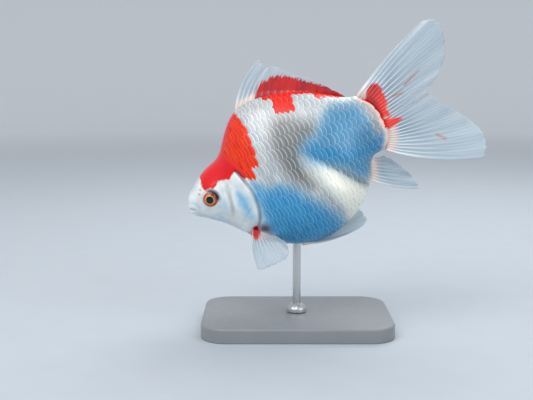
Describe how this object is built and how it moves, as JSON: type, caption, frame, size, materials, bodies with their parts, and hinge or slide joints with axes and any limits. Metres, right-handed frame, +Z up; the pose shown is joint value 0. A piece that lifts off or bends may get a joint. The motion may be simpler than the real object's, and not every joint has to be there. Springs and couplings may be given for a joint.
{
  "type": "ryukin goldfish on a display stand",
  "caption": "Life-size still model of a red and white ryukin goldfish, nose down, with a double tail, on a flat base with one rod.",
  "frame": {"origin": "middle of the stand's flat underside", "axes": "+Z up; the head points to -X and the tail to +X; the fish's left flank faces -Y"},
  "size_m": [0.1619, 0.0731, 0.1688],
  "materials": {
    "scales": "pearly white scales with red markings, satin",
    "eye": "orange-red iris and black pupil under a glossy cornea",
    "fin_web": "thin, see-through, with fine rays",
    "stand_lacquer": "satin grey lacquer",
    "stand_steel": "fine turned and polished"
  },
  "bodies": {
    "root": {"head": "scales", "lower_jaw": "scales", "opercle_left": "scales", "opercle_right": "scales", "trunk_back": "scales", "trunk_belly": "scales", "tail_stalk": "scales", "eye_left": "eye", "eye_right": "eye", "dorsal_fin": "fin_web", "pectoral_fin_left": "fin_web", "pectoral_fin_right": "fin_web", "pelvic_fin_left": "fin_web", "pelvic_fin_right": "fin_web", "anal_fin_left": "fin_web", "anal_fin_right": "fin_web", "tail_fin_upper_left": "fin_web", "tail_fin_lower_left": "fin_web", "tail_fin_upper_right": "fin_web", "tail_fin_lower_right": "fin_web", "stand_base": "stand_lacquer", "stand_rod": "stand_steel", "stand_collar": "stand_steel"}
  },
  "joints": []
}
